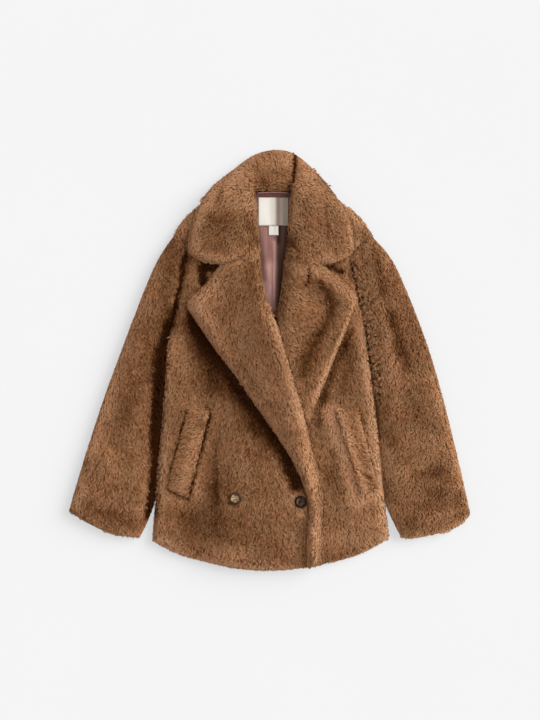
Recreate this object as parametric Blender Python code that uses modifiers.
"""Short double-breasted teddy-fur coat, laid flat on its back with its sleeves out to the sides.

Every cloth panel is a closed slab as thick as its pile. It is lofted between two edges, given as short
tables with a row for each section, and laid down in the order in which the panels lie on each other:
each one drapes over whatever is under it, a hair's breadth above. +Z is up, +Y runs to the collar, and
the wearer's right side is at -X. Tables and sizes are in millimetres, the model is in metres.
"""

import math
from collections import namedtuple

import bmesh
import bpy
import numpy as np
from mathutils import Vector
from mathutils.bvhtree import BVHTree

MM = 0.001

# Driving dimensions, in millimetres.
PANEL = 11.0  # thickness of a body panel, backing and pile together
LAPEL = 18.0  # a lapel is the front turned back on itself, with pile on both its faces
WELT = 4.8  # how far a pocket welt stands on its front
SLEEVE = 25.0  # height of a sleeve tube lying flat
LINING = 1.6
LABEL = 0.9
PIPING = 2.6  # diameter of the satin piping along the neck seam
PIPING_HALF = 29.0  # half its length that shows
PIPING_MIDDLE = (4.0, 309.5)
PIPING_BOW = 1.2  # how far its ends drop below its middle
BUTTON = 23.0
BUTTON_HIGH = 4.6
BUTTON_FLAT = 0.74  # share of its radius on which it lies
BUTTON_STEPS = 24
HOLE = 2.2  # diameter of a button's thread hole
HOLE_OUT = 2.9  # from the button's middle to a hole's
SEAM = 0.3  # clearance between neighbouring pieces
ARMHOLE_SEAM = 0.6  # the same along the curved armhole, whose edges are chords
GORGE_SEAM = 0.6  # and along the curved seam between the collar and a lapel
RIM = 2.6  # thickness left at the edge of a panel
ROUND = 12.0  # width over which a panel rounds down to its rim
STEPS = (0.0, 3.0, 8.0)  # sections set close together near an edge, to follow that rounding
DRAPE = 0.5  # steepest slope of cloth that drops from one layer to the next
SEWN_DRAPE = 2.0  # the same for a small piece sewn down all round
SLIT = 1.2  # hollow inside a sleeve lying flat
LIFT = 3.5  # how far the underside of an outline curls up from the floor
FALL = 80.0  # more than the whole pile of layers is high

ROLL = 16.0  # width over which a sleeve rounds over at its folds
FLAT_END = 0.25  # share of a sleeve's roundness left at its two ends
LAPEL_ROUND = 16.0
COLLAR_ROUND = 15.0
WELT_ROUND = 8.0

# Raster on which the pile of layers is measured, and how closely a panel is settled on it.
CELL = 4.0
HALF_FIELD = 420.0
SETTLE_SHARES = 6
SETTLE_ROUNDS = 8
SETTLED = 0.01

Section = namedtuple("Section", "outer_x outer_y inner_x inner_y")
Collar = namedtuple("Collar", "neck_x neck_y middle_x middle_y edge_x edge_y thick")
Fold = namedtuple("Fold", "from_x from_y to_x to_y width height")
Grid = namedtuple("Grid", "width across_pitch length along_pitch")
Profile = namedtuple("Profile", "out up")

# Wearer's right front, which laps over. Outer is armhole and side seam, inner the front opening.
RIGHT_FRONT = (
    Section(-177, 236, -47, 315),
    Section(-157, 206, -44, 273),
    Section(-154, 180, -42, 225),
    Section(-162, 147, -35, 173),
    Section(-175, 110, -23, 121),
    Section(-186, 64, -5, 71),
    Section(-192, 14, 12, 21),
    Section(-196, -47, 31, -40),
    Section(-201, -120, 51, -110),
    Section(-209, -195, 62, -190),
    Section(-213, -260, 75, -260),
    Section(-217, -306, 80, -325),
    Section(-219, -335, 80, -383),
)
RIGHT_SHOULDER = ((-177, 236), (-165, 255), (-136, 283), (-95, 303), (-47, 315))
RIGHT_HEM = (
    (-219, -335),
    (-188, -354),
    (-132, -373),
    (-77, -385),
    (-31, -391),
    (16, -391),
    (80, -383),
)

# Wearer's left front, which runs on under the right one as far as its own front edge.
LEFT_FRONT = (
    Section(186, 232, 49, 313),
    Section(157, 206, 47, 273),
    Section(146, 181, 44, 228),
    Section(156, 138, 36, 180),
    Section(167, 95, 24, 128),
    Section(176, 48, 6, 77),
    Section(183, -10, -10, 25),
    Section(190, -75, -32, -46),
    Section(198, -134, -56, -115),
    Section(204, -199, -76, -190),
    Section(210, -265, -92, -258),
    Section(215, -301, -96, -318),
    Section(218, -332, -97, -374),
)
LEFT_SHOULDER = ((186, 232), (170, 258), (133, 289), (95, 304), (49, 313))
LEFT_HEM = ((218, -332), (173, -357), (136, -371), (95, -380), (0, -384), (-97, -374))
ARMHOLE_ROWS = 6  # the armhole runs over this many rows of a front, from the shoulder to the armpit
ARMPIT = ARMHOLE_ROWS / (len(RIGHT_FRONT) - 1)  # the armpit's place along the side

BACK_NECK = ((-47, 319), (0, 322), (49, 319))
BACK_HEM = ((-132, -371), (-58, -387), (0, -389), (60, -386), (136, -368))

# Sleeves. Outer is the fold away from the body, inner the fold beside it.
RIGHT_SLEEVE = (
    Section(-177, 236, -192, 14),
    Section(-212, 184, -197, -42),
    Section(-243, 110, -201.4, -105),
    Section(-278, 18, -206.6, -162),
    Section(-312, -75, -211.8, -215),
    Section(-339, -158, -215.2, -262),
    Section(-360, -226, -224, -294),
    Section(-376, -282, -242, -331),
)
RIGHT_CUFF = ((-376, -282), (-347, -300), (-317, -316), (-282, -328), (-242, -331))
LEFT_SLEEVE = (
    Section(186, 232, 183, -10),
    Section(225, 188, 190.6, -68),
    Section(254, 125, 198.4, -127),
    Section(286, 43, 203.8, -182),
    Section(314, -47, 208.6, -230),
    Section(343, -162, 215, -279),
    Section(371, -286, 241, -332),
)
LEFT_CUFF = ((371, -286), (354, -306), (330, -318), (293, -328), (262, -333), (241, -332))

# Lapels. Outer is the roll along the front opening, inner the free edge with the notch and the tip.
RIGHT_LAPEL = (
    Section(-22, 217, -93, 176),
    Section(-19, 184, -118, 141),
    Section(-14, 147, -143, 116),
    Section(-5, 108, -155, 101),
    Section(10, 67, -138, 73),
    Section(25, 19, -108, 28),
    Section(40, -31, -73, -18),
    Section(54, -79, -36, -70),
    Section(68, -131, 3, -127),
    Section(78, -177, 34, -173),
    Section(88, -214, 52, -208),
    Section(94, -245, 64, -240),
    Section(95, -271, 72, -268),
    Section(94, -316, 69, -316),
    Section(93, -349, 67, -351),
    Section(95, -379, 68, -385),
)
LEFT_LAPEL = (
    Section(29, 203, 93, 176),
    Section(24, 180, 134, 143),
    Section(19, 145, 156, 120),
    Section(14, 106, 150, 88),
    Section(6, 62, 137, 53),
    Section(0, 19, 121, 16),
    Section(8, -20, 107, -21),
    Section(26, -55, 92, -58),
    Section(44, -88, 80, -90),
    Section(58, -114, 71, -116),
)

# The collar, from the leaf on the wearer's right round the back of the neck to the one on the left.
COLLAR = (
    Collar(-22, 217, -93, 176, -152, 200, 18),
    Collar(-24, 254, -88, 228, -150, 235, 18),
    Collar(-26, 282, -82, 276, -136, 280, 18),
    Collar(-29, 302, -73, 313, -110, 321, 19),
    Collar(-30, 312, -53, 339, -75, 349, 22),
    Collar(-24, 313, -36, 349, -43, 375, 25),
    Collar(-10, 313, -12, 352, -14, 388, 26),
    Collar(16, 313, 18, 352, 18, 391, 26),
    Collar(31, 313, 38, 350, 43, 384, 25),
    Collar(37, 312, 55, 345, 68, 365, 22),
    Collar(36, 300, 75, 319, 106, 324, 19),
    Collar(34, 273, 90, 284, 136, 278, 18),
    Collar(32, 239, 95, 236, 152, 236, 18),
    Collar(29, 203, 93, 176, 152, 200, 18),
)

# What shows inside the neck: satin lining, narrowing down the opening.
LINING_ROWS = (
    Section(-38, 310, 46, 310),
    Section(-34, 276, 42, 276),
    Section(-31, 221, 38, 221),
    Section(-29, 180, 32, 180),
    Section(-18, 141, 27, 141),
    Section(-10, 110, 23, 110),
    Section(0, 80, 17, 80),
)
LABEL_ROWS = (Section(-23, 300, 32, 300), Section(-23, 248, 32, 248))
TAG_ROWS = (Section(-4, 254, 14, 254), Section(-4, 230, 14, 230))

RIGHT_WELT = (
    Section(-151, -90, -114, -93),
    Section(-170, -163, -133, -172),
    Section(-191, -239, -154, -253),
)
LEFT_WELT = (
    Section(158, -89, 119, -94),
    Section(177, -162, 143, -170),
    Section(196, -236, 166, -248),
)
BUTTONS = {"button_right": (-66.0, -256.0), "button_left": (55.0, -262.0)}

# A button's half section, as shares of its radius and its height.
BUTTON_PROFILE = (
    Profile(0.0, 0.62),
    Profile(0.52, 0.62),
    Profile(0.66, 0.98),
    Profile(0.82, 1.0),
    Profile(0.95, 0.82),
    Profile(1.0, 0.5),
    Profile(0.93, 0.18),
    Profile(BUTTON_FLAT, 0.0),
    Profile(0.0, 0.0),
)

# Soft ridges and troughs, named by the piece whose top they shape.
FOLDS = {
    "front_right": (
        Fold(-101, -120, -101, -366, 9, -3.0),
        Fold(-66, -256, -66, -256, 20, -3.0),
        Fold(-176, 20, -128, -60, 22, -2.0),
        Fold(-150, 150, -118, 60, 26, 2.0),
        Fold(-150, -290, -60, -300, 26, -1.8),
    ),
    "front_left": (
        Fold(152, 60, 128, -60, 22, -3.0),
        Fold(112, -250, 104, -372, 14, -2.6),
        Fold(170, -262, 176, -350, 16, 1.8),
        Fold(112, -96, 156, -246, 8, 3.0),
    ),
    "lapel_right": (
        Fold(-78, 96, 16, -50, 24, -2.0),
        Fold(-40, 18, 31, -66, 9, -2.4),
        Fold(46, -110, 76, -216, 14, -3.0),
    ),
    "lapel_left": (
        Fold(62, 118, 116, 84, 13, -3.0),
        Fold(112, 88, 106, 30, 15, -6.0),
        Fold(104, 30, 60, -52, 12, -5.0),
    ),
    "sleeve_right": (
        Fold(-214, 128, -262, -40, 18, 3.0),
        Fold(-232, -48, -300, -74, 14, -2.6),
        Fold(-226, -128, -330, -142, 16, -2.0),
        Fold(-194, 60, -226, -300, 30, -8.0),
        Fold(-372, -252, -236, -296, 9, -3.4),
    ),
    "sleeve_left": (
        Fold(178, 190, 211, 110, 16, 4.0),
        Fold(211, 110, 234, -38, 15, 4.6),
        Fold(236, 120, 260, -20, 15, -4.6),
        Fold(216, -120, 322, -140, 16, -2.4),
        Fold(236, -206, 330, -190, 12, 2.4),
        Fold(236, -296, 362, -250, 9, -3.4),
    ),
    "collar": (
        Fold(-93, 344, -114, 292, 8, -3.0),
        Fold(42, 384, 39, 318, 6, -5.0),
        Fold(98, 286, 104, 228, 9, -3.0),
        Fold(-64, 300, -70, 210, 16, 2.0),
    ),
    "lining": (
        Fold(4, 300, 8, 84, 5, 1.4),
        Fold(20, 236, 16, 100, 5, 0.9),
    ),
    "label": (Fold(5, 302, 5, 246, 3, 0.8),),
}

# How finely each piece is divided: its rough width and length, and the distance between sections.
GRIDS = {
    "back": Grid(430, 27, 610, 28),
    "front": Grid(230, 22, 610, 28),
    "sleeve": Grid(230, 28, 380, 30),
    "lapel_right": Grid(90, 16, 640, 20),
    "lapel_left": Grid(110, 17, 330, 18),
    "collar": Grid(95, 17, 560, 21),
    "lining": Grid(80, 16, 230, 22),
    "label": Grid(55, 5, 52, 8),
    "size_tag": Grid(18, 6, 16, 6),
    "pocket_welt": Grid(38, 12, 160, 18),
}

FUR = (0.30, 0.165, 0.085)
SATIN = (0.30, 0.155, 0.14)
CREAM = (0.72, 0.66, 0.56)
HORN = (0.16, 0.085, 0.04)


# --- curves and lofts, on arrays of plan positions in millimetres ---


def through(points, at, knots=None):
    """A smooth curve through the points, read at fractions of its length or between the given knots."""
    points = np.array(points, float)
    if knots is None:
        knots = np.linspace(0.0, 1.0, len(points))
    slopes = np.gradient(points, knots, axis=0)
    at = np.clip(np.asarray(at, float), 0.0, 1.0)
    span = np.clip(np.searchsorted(knots, at, side="right") - 1, 0, len(points) - 2)
    width = (knots[span + 1] - knots[span])[..., None]
    s = (at[..., None] - knots[span][..., None]) / width
    return (
        (2 * s**3 - 3 * s**2 + 1) * points[span]
        + (s**3 - 2 * s**2 + s) * width * slopes[span]
        + (3 * s**2 - 2 * s**3) * points[span + 1]
        + (s**3 - s**2) * width * slopes[span + 1]
    )


def by_length(points):
    """Knots for an end curve, spaced as its points are."""
    steps = np.linalg.norm(np.diff(np.array(points, float), axis=0), axis=1)
    return np.concatenate([[0.0], np.cumsum(steps)]) / steps.sum()


def loft(rows, across, along, start=None, end=None):
    """Plan positions [row, column, xy] of a panel between the outer and the inner edge of its sections.

    start and end give the true curve of the first and the last edge, and bow the rows near them."""
    outer = through([(row.outer_x, row.outer_y) for row in rows], along)[:, None, :]
    inner = through([(row.inner_x, row.inner_y) for row in rows], along)[:, None, :]
    u = np.asarray(across)[None, :, None]
    v = np.asarray(along)[:, None, None]
    plan = outer + (inner - outer) * u
    for curve, weight in ((start, 1.0 - v), (end, v)):
        if curve is None:
            continue
        chord = np.array(curve[0], float) + np.subtract(curve[-1], curve[0]) * u
        plan = plan + (through(curve, across, by_length(curve))[None] - chord) * weight
    return plan


def stations(length, pitch, keep=()):
    """Fractions along a length: close together near both ends, and evenly spaced between.

    A fraction in keep is always a station, and the sections crowd towards it as towards an end."""
    near = {step / length for step in STEPS} | {1.0 - step / length for step in STEPS}
    for fraction in keep:
        near |= {fraction - step / length for step in STEPS}
    even = np.linspace(0.0, 1.0, max(2, round(length / pitch)) + 1)
    clear = 0.4 * pitch / length
    inside = [f for f in even if min(abs(f - n) for n in near) > clear]
    return np.array(sorted(near | set(inside)))


def divided(grid, keep=()):
    """Stations across and along a piece."""
    across = stations(grid.width, grid.across_pitch)
    return across, stations(grid.length, grid.along_pitch, keep)


def evenly(grid):
    """The same for a thin flat piece, whose edges need no rounding."""
    return np.linspace(0.0, 1.0, round(grid.width / grid.across_pitch) + 1), np.linspace(
        0.0, 1.0, round(grid.length / grid.along_pitch) + 1
    )


def rim_distance(plan, sides="all"):
    """Distance of each plan position from the panel's outline, or from those of its sides that are named.

    The collar's ends meet the lapels as far as its middle, and a lapel's first end meets the collar. Those
    are flat seams and don't count as its outline."""
    ends = [plan[0], plan[-1]]
    long_sides = [plan[:, 0], plan[:, -1]]
    middle = plan.shape[1] // 2
    lines = {
        "all": ends + long_sides,
        "ends": ends,
        "folds": long_sides,
        "collar": [plan[0, middle:], plan[-1, middle:]] + long_sides,
        "lapel": [plan[-1]] + long_sides,
    }[sides]
    points = plan.reshape(-1, 1, 2)
    nearest = np.full(len(points), np.inf)
    for line in lines:
        a = line[None, :-1]
        step = line[None, 1:] - a
        share = ((points - a) * step).sum(axis=2) / np.maximum((step**2).sum(axis=2), 1e-9)
        gap = points - a - step * np.clip(share, 0.0, 1.0)[..., None]
        nearest = np.minimum(nearest, np.linalg.norm(gap, axis=2).min(axis=1))
    return nearest.reshape(plan.shape[:2])


def rounding(distance, reach):
    """0 at an edge and 1 from reach inwards, along a quarter of an ellipse."""
    return np.sqrt(1.0 - (1.0 - np.clip(distance / reach, 0.0, 1.0)) ** 2)


def folded(name, plan):
    """The height that a piece's soft folds add at each plan position."""
    height = np.zeros(plan.shape[:2])
    for fold in FOLDS.get(name, ()):
        start = np.array((fold.from_x, fold.from_y), float)
        run = np.array((fold.to_x, fold.to_y), float) - start
        share = np.clip(((plan - start) @ run) / max(run @ run, 1e-9), 0.0, 1.0)
        gap = np.linalg.norm(plan - start - share[..., None] * run, axis=2)
        height += fold.height * np.exp(-((gap / fold.width) ** 2))
    return height


# --- the pile of layers, as heights on a raster ---


def empty_field():
    count = int(2 * HALF_FIELD / CELL) + 1
    return np.zeros((count, count))


def read(field, plan):
    """The field's height at each plan position, between the raster's points."""
    place = (np.asarray(plan) + HALF_FIELD) / CELL
    low = np.clip(np.floor(place).astype(int), 0, len(field) - 2)
    s = np.clip(place - low, 0.0, 1.0)
    i, j = low[..., 0], low[..., 1]
    near = field[j, i] * (1 - s[..., 0]) + field[j, i + 1] * s[..., 0]
    far = field[j + 1, i] * (1 - s[..., 0]) + field[j + 1, i + 1] * s[..., 0]
    return near * (1 - s[..., 1]) + far * s[..., 1]


def spread(field, fall):
    """Each point raised to its highest neighbour, less a fall for each step to it."""
    wide = np.pad(field, 1, mode="edge")
    size = len(field)
    result = field
    for j in (0, 1, 2):
        for i in (0, 1, 2):
            drop = fall * math.hypot(i - 1, j - 1)
            result = np.maximum(result, wide[j : j + size, i : i + size] - drop)
    return result


def softened(field):
    wide = np.pad(field, 1, mode="edge")
    size = len(field)
    return sum(wide[j : j + size, i : i + size] for j in (0, 1, 2) for i in (0, 1, 2)) / 9.0


def lay_down(field, obj):
    """The field with the object's top surface added."""
    tree = BVHTree.FromObject(obj, bpy.context.evaluated_depsgraph_get())
    corners = np.array([vertex.co[:2] for vertex in obj.data.vertices]) / MM
    low = np.floor((corners.min(axis=0) + HALF_FIELD) / CELL).astype(int)
    high = np.ceil((corners.max(axis=0) + HALF_FIELD) / CELL).astype(int)
    field = field.copy()
    for j in range(low[1], high[1] + 1):
        for i in range(low[0], high[0] + 1):
            above = Vector((i * CELL - HALF_FIELD, j * CELL - HALF_FIELD, 1.0 / MM)) * MM
            hit = tree.ray_cast(above, Vector((0.0, 0.0, -1.0)))[0]
            if hit is not None:
                field[j, i] = max(field[j, i], hit.z / MM)
    return field


def draped(field, plan, slope):
    """Heights at which cloth lies over the field: no steeper than the slope, and touching nothing."""
    floor = spread(field, 0.0)
    cloth = spread(floor, 0.0)
    for _ in range(int(FALL / (slope * CELL))):
        cloth = spread(cloth, slope * CELL)
    cloth = np.maximum(softened(softened(cloth)), floor)
    return settled(plan, read(cloth, plan), floor) + SEAM


def settled(plan, height, floor):
    """The heights raised until no face between them dips below the floor, whichever way it is split."""
    shares = np.linspace(0.0, 1.0, SETTLE_SHARES)
    height = height.copy()
    for _ in range(SETTLE_ROUNDS):
        lift = np.zeros_like(height)
        z00, z10, z01, z11 = height[:-1, :-1], height[:-1, 1:], height[1:, :-1], height[1:, 1:]
        for s in shares:
            for t in shares:
                upper = z00 + s * (z10 - z00) + t * (z11 - z10)
                lower = z00 + t * (z01 - z00) + s * (z11 - z01)
                one = upper if s >= t else lower
                near = z00 + s * (z10 - z00) + t * (z01 - z00)
                far = z11 + (1 - s) * (z01 - z11) + (1 - t) * (z10 - z11)
                other = near if s + t <= 1 else far
                place = (
                    plan[:-1, :-1] * (1 - s) * (1 - t)
                    + plan[:-1, 1:] * s * (1 - t)
                    + plan[1:, :-1] * (1 - s) * t
                    + plan[1:, 1:] * s * t
                )
                short = np.maximum(read(floor, place) - np.minimum(one, other), 0.0)
                for rows in (slice(None, -1), slice(1, None)):
                    for columns in (slice(None, -1), slice(1, None)):
                        lift[rows, columns] = np.maximum(lift[rows, columns], short)
        height += lift
        if lift.max() < SETTLED:
            break
    return height


# --- meshes ---


def material(name, colour, roughness):
    made = bpy.data.materials.get(name) or bpy.data.materials.new(name)
    made.use_nodes = True
    shader = made.node_tree.nodes["Principled BSDF"]
    shader.inputs["Base Color"].default_value = (*colour, 1.0)
    shader.inputs["Roughness"].default_value = roughness
    return made


def finished(name, mesh, finish):
    """An object of the coat's collection, smooth but for its sharp edges."""
    mesh.materials.append(finish)
    mesh.shade_smooth()
    mesh.set_sharp_from_angle(angle=math.radians(50))
    obj = bpy.data.objects.new(name, mesh)
    obj.parent = COAT
    PIECES.objects.link(obj)
    return obj


def closed(name, form, finish):
    """The form's mesh in triangles, facing out, as an object."""
    bmesh.ops.recalc_face_normals(form, faces=form.faces[:])
    if form.calc_volume(signed=True) < 0:
        bmesh.ops.reverse_faces(form, faces=form.faces[:])
    bmesh.ops.triangulate(form, faces=form.faces[:])
    mesh = bpy.data.meshes.new(name)
    form.to_mesh(mesh)
    form.free()
    return finished(name, mesh, finish)


def slab(name, plan, bottom, top, finish):
    """A closed slab: a grid with the bottom heights, drawn up to the top heights."""
    rows, columns = plan.shape[:2]
    form = bmesh.new()
    bmesh.ops.create_grid(form, x_segments=columns - 1, y_segments=rows - 1, size=0.5)
    grown = bmesh.ops.extrude_face_region(form, geom=form.faces[:])["geom"]
    upper = [item for item in grown if isinstance(item, bmesh.types.BMVert)]
    bmesh.ops.translate(form, verts=upper, vec=(0.0, 0.0, 1.0))
    for vertex in form.verts:
        i = round((vertex.co.x + 0.5) * (columns - 1))
        j = round((vertex.co.y + 0.5) * (rows - 1))
        height = top if vertex.co.z > 0.5 else bottom
        vertex.co = Vector((plan[j, i, 0], plan[j, i, 1], height[j, i])) * MM
    return closed(name, form, finish)


def panel(name, plan, field, wall, finish, reach=ROUND, rim=RIM, slope=DRAPE, sides="all"):
    """Lays a cloth panel on the field, and returns the field with the panel on it."""
    distance = rim_distance(plan, sides)
    bottom = draped(field, plan, slope)
    thick = rim + (np.asarray(wall) - rim) * rounding(distance, reach)
    shaped = folded(name, plan) * np.clip(distance / reach, 0.0, 1.0)
    top = bottom + np.maximum(thick + shaped, min(rim, np.min(wall)))
    return lay_down(field, slab(name, plan, bottom, top, finish))


def tube(name, outer, inner, finish):
    """A closed wall with one opening at each end, from the rings [row, place, xyz] of its two faces."""
    rings = np.concatenate([outer, inner[::-1]])
    rows, places = rings.shape[:2]
    form = bmesh.new()
    bmesh.ops.create_grid(form, x_segments=places, y_segments=rows, size=0.5)
    for vertex in form.verts:
        i = round((vertex.co.x + 0.5) * places) % places
        j = round((vertex.co.y + 0.5) * rows) % rows
        vertex.co = Vector(rings[j, i]) * MM
    bmesh.ops.remove_doubles(form, verts=form.verts[:], dist=1e-6)
    return closed(name, form, finish)


# --- the coat's pieces ---


def back(field, finish):
    """The back, its sides and armholes the same as the fronts' and its underside flat on the floor."""
    rows = [
        Section(right.outer_x, right.outer_y, left.outer_x, left.outer_y)
        for right, left in zip(RIGHT_FRONT, LEFT_FRONT)
    ]
    start = RIGHT_SHOULDER[:-1] + BACK_NECK + LEFT_SHOULDER[-2::-1]
    end = (RIGHT_HEM[0], RIGHT_HEM[1], *BACK_HEM, LEFT_HEM[1], LEFT_HEM[0])
    plan = loft(rows, *divided(GRIDS["back"], (ARMPIT,)), start, end)
    distance = rim_distance(plan)
    bottom = LIFT * (1.0 - rounding(distance, ROUND))
    top = PANEL - (PANEL - RIM - LIFT) * (1.0 - rounding(distance, ROUND))
    return lay_down(field, slab("back", plan, bottom, top, finish))


def sleeve(name, rows, cuff, front_rows, finish):
    """A sleeve as a flattened tube, open at the cuff and along the armhole that the front gives it.

    It lies beside the body and nothing lies on it, so it isn't added to the field."""
    side = np.sign(rows[0].outer_x)
    body = divided(GRIDS["front"], (ARMPIT,))[1]
    across = body[body <= ARMPIT + 1e-6] / ARMPIT
    edge = through([(row.outer_x, row.outer_y) for row in front_rows], across * ARMPIT)
    heading = np.gradient(edge, axis=0)
    outward = np.stack([-heading[:, 1], heading[:, 0]], axis=1) * side
    outward /= np.linalg.norm(outward, axis=1)[:, None]
    armhole = edge + outward * ARMHOLE_SEAM
    along = divided(GRIDS["sleeve"])[1]
    plan = loft(rows, across, along, None, cuff)
    chord = plan[0].copy()
    plan = plan + (armhole - chord)[None] * (1.0 - along)[:, None, None]
    folds = rim_distance(plan, "folds")
    ends = rim_distance(plan, "ends")
    middle = 0.5 * SLEEVE
    crown = rounding(folds, ROLL)
    taper = FLAT_END + (1.0 - FLAT_END) * rounding(ends, ROUND)
    top = middle + (middle * crown + folded(name, plan) * np.clip(folds / ROLL, 0.0, 1.0)) * taper
    cuff_lift = LIFT * (1.0 - rounding(np.linalg.norm(plan - plan[-1][None], axis=2), ROUND))
    bottom = np.maximum(middle - middle * crown, cuff_lift)
    outer = ring_of(plan, top, np.minimum(bottom, middle))
    width = np.linalg.norm(plan[:, -1] - plan[:, 0], axis=1)[:, None]
    inset = across + (PANEL / width) * (1.0 - 2.0 * across[None, :])
    hollow = np.stack(
        [[np.interp(at, across, line) for line in row.T] for at, row in zip(inset, plan)]
    ).transpose(0, 2, 1)
    slit = 0.5 * SLIT * np.minimum(crown, 1.0)
    inner = ring_of(hollow, middle + slit, middle - slit)
    tube(name, outer, inner, finish)


def ring_of(plan, top, bottom):
    """Rings [row, place, xyz] that cross a flat tube's top from fold to fold and come back underneath."""
    over = np.concatenate([plan, top[..., None]], axis=2)
    under = np.concatenate([plan, bottom[..., None]], axis=2)[:, -2:0:-1]
    over[:, 0, 2] = 0.5 * (top[:, 0] + bottom[:, 0])
    over[:, -1, 2] = 0.5 * (top[:, -1] + bottom[:, -1])
    return np.concatenate([over, under], axis=1)


def collar(field, finish):
    """The collar, lofted through its neck seam, its middle and its free edge."""
    across, along = divided(GRIDS["collar"])
    neck = through([(row.neck_x, row.neck_y) for row in COLLAR], along)[:, None]
    middle = through([(row.middle_x, row.middle_y) for row in COLLAR], along)[:, None]
    edge = through([(row.edge_x, row.edge_y) for row in COLLAR], along)[:, None]
    thick = through([(row.thick,) for row in COLLAR], along)
    u = across[None, :, None]
    plan = neck * (1 - u) * (1 - 2 * u) + middle * 4 * u * (1 - u) + edge * u * (2 * u - 1)
    return panel("collar", plan, field, thick, finish, reach=COLLAR_ROUND, sides="collar")


def across_collar(row):
    """Plan positions from a collar section's neck seam to its middle."""
    u = np.linspace(0.0, 0.5, 7)[:, None]
    neck = np.array((row.neck_x, row.neck_y), float)
    middle = np.array((row.middle_x, row.middle_y), float)
    edge = np.array((row.edge_x, row.edge_y), float)
    return neck * (1 - u) * (1 - 2 * u) + middle * 4 * u * (1 - u) + edge * u * (2 * u - 1)


def lapel(name, rows, end_of_collar, field, finish):
    """A lapel, sewn to the collar's end along the gorge from the opening to the notch."""
    plan = loft(rows, *divided(GRIDS[name]), across_collar(end_of_collar))
    plan[..., 1] -= GORGE_SEAM
    return panel(name, plan, field, LAPEL, finish, reach=LAPEL_ROUND, sides="lapel")


def button(name, place, field, finish):
    """A four-hole button: a turned disc with a raised rim, pierced by four pegs."""
    radius = 0.5 * BUTTON
    form = bmesh.new()
    points = [
        form.verts.new((point.out * radius * MM, 0.0, point.up * BUTTON_HIGH * MM))
        for point in BUTTON_PROFILE
    ]
    for first, second in zip(points, points[1:]):
        form.edges.new((first, second))
    mesh = bpy.data.meshes.new(name)
    form.to_mesh(mesh)
    form.free()
    obj = finished(name, mesh, finish)
    turn = obj.modifiers.new("turned", "SCREW")
    turn.steps = turn.render_steps = BUTTON_STEPS
    turn.use_merge_vertices = True
    turn.merge_threshold = 0.00001
    turn.use_normal_calculate = True
    turns = np.linspace(0.0, 2.0 * math.pi, 8, endpoint=False)
    under = place + BUTTON_FLAT * radius * np.stack([np.cos(turns), np.sin(turns)], axis=1)
    rest = float(read(spread(field, 0.0), np.vstack([under, place])).max())
    obj.location = (place[0] * MM, place[1] * MM, (rest + SEAM) * MM)
    pierce = obj.modifiers.new("holes", "BOOLEAN")
    pierce.object = button_pegs(name, obj.location)
    return obj


def button_pegs(name, location):
    """Four pegs that cut a button's thread holes."""
    form = bmesh.new()
    for turn in range(4):
        angle = math.radians(45 + 90 * turn)
        made = bmesh.ops.create_cone(
            form,
            cap_ends=True,
            segments=10,
            radius1=0.5 * HOLE * MM,
            radius2=0.5 * HOLE * MM,
            depth=3 * BUTTON_HIGH * MM,
        )
        offset = Vector((math.cos(angle), math.sin(angle), 0.0)) * HOLE_OUT * MM
        bmesh.ops.translate(form, verts=made["verts"], vec=offset)
    mesh = bpy.data.meshes.new(name + "_pegs")
    form.to_mesh(mesh)
    form.free()
    pegs = bpy.data.objects.new(name + "_pegs", mesh)
    pegs.parent = COAT
    pegs.location = location
    pegs.hide_render = True
    pegs.display_type = "WIRE"
    CUTTERS.objects.link(pegs)
    return pegs


def piping(field, finish):
    """The satin piping that edges the neck seam, a soft cord lying on the top of the lining."""
    middle_x, middle_y = PIPING_MIDDLE
    places = np.array(
        [
            (middle_x + share * PIPING_HALF, middle_y - PIPING_BOW * share**2)
            for share in np.linspace(-1.0, 1.0, 12)
        ]
    )
    rest = read(spread(field, 0.0), places).max() + SEAM + 0.5 * PIPING
    line = bpy.data.curves.new("neck_piping", "CURVE")
    line.dimensions = "3D"
    line.bevel_depth = 0.5 * PIPING * MM
    line.bevel_resolution = 1
    line.use_fill_caps = True
    spline = line.splines.new("POLY")
    spline.points.add(len(places) - 1)
    for point, (x, y) in zip(spline.points, places):
        point.co = (x * MM, y * MM, rest * MM, 1.0)
    line.materials.append(finish)
    obj = bpy.data.objects.new("neck_piping", line)
    obj.parent = COAT
    PIECES.objects.link(obj)


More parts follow.
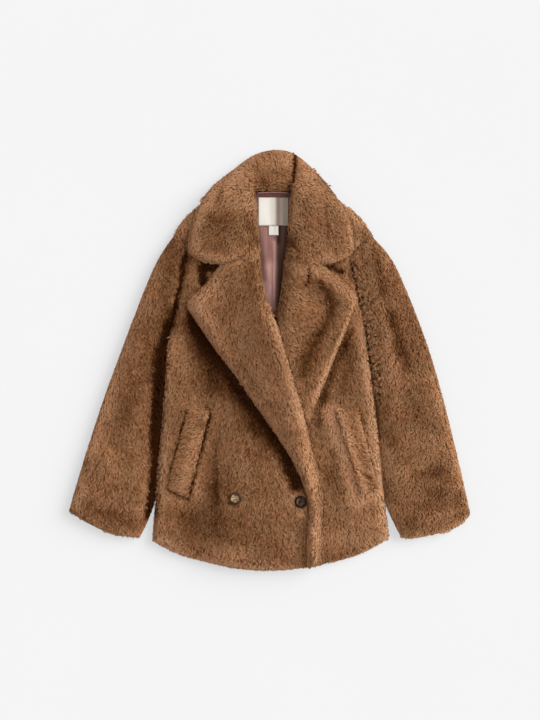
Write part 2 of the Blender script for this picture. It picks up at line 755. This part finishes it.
def centred():
    """Moves the whole coat so that its box is centred over the origin."""
    bpy.context.view_layer.update()
    meshes = [obj for obj in PIECES.objects if obj.type == "MESH"]
    corners = np.array([obj.matrix_world @ Vector(c) for obj in meshes for c in obj.bound_box])
    middle = 0.5 * (corners.min(axis=0) + corners.max(axis=0))
    COAT.location = (-middle[0], -middle[1], 0.0)


def build():
    fur = material("teddy_fur", FUR, 0.9)
    satin = material("satin_lining", SATIN, 0.4)
    cream = material("woven_label", CREAM, 0.7)
    horn = material("horn_button", HORN, 0.35)

    field = back(empty_field(), fur)
    for name, rows, thick, finish in (
        ("lining", LINING_ROWS, LINING, satin),
        ("size_tag", TAG_ROWS, LABEL, cream),
        ("label", LABEL_ROWS, LABEL, cream),
    ):
        plan = loft(rows, *evenly(GRIDS[name]))
        field = panel(name, plan, field, thick, finish, reach=thick, rim=thick)
    piping(field, satin)

    sleeve("sleeve_right", RIGHT_SLEEVE, RIGHT_CUFF, RIGHT_FRONT, fur)
    sleeve("sleeve_left", LEFT_SLEEVE, LEFT_CUFF, LEFT_FRONT, fur)

    body = divided(GRIDS["front"], (ARMPIT,))
    plan = loft(LEFT_FRONT, *body, LEFT_SHOULDER, LEFT_HEM)
    fronts = panel("front_left", plan, field, PANEL, fur)
    field = lapel("lapel_left", LEFT_LAPEL, COLLAR[-1], fronts, fur)
    plan = loft(RIGHT_FRONT, *body, RIGHT_SHOULDER, RIGHT_HEM)
    field = panel("front_right", plan, field, PANEL, fur)
    field = lapel("lapel_right", RIGHT_LAPEL, COLLAR[0], field, fur)
    # The collar lies on the fronts beside the lapels, and not on them.
    collar(lay_down(fronts, bpy.data.objects["front_right"]), fur)

    for name, rows in (("pocket_welt_right", RIGHT_WELT), ("pocket_welt_left", LEFT_WELT)):
        plan = loft(rows, *divided(GRIDS["pocket_welt"]))
        field = panel(name, plan, field, WELT, fur, reach=WELT_ROUND, slope=SEWN_DRAPE)
    for name, place in BUTTONS.items():
        button(name, place, field, horn)
    centred()


for old in list(bpy.data.objects):
    bpy.data.objects.remove(old)
PIECES = bpy.data.collections.new("faux_fur_coat")
CUTTERS = bpy.data.collections.new("cutters")
bpy.context.scene.collection.children.link(PIECES)
bpy.context.scene.collection.children.link(CUTTERS)
COAT = bpy.data.objects.new("coat", None)
PIECES.objects.link(COAT)
build()
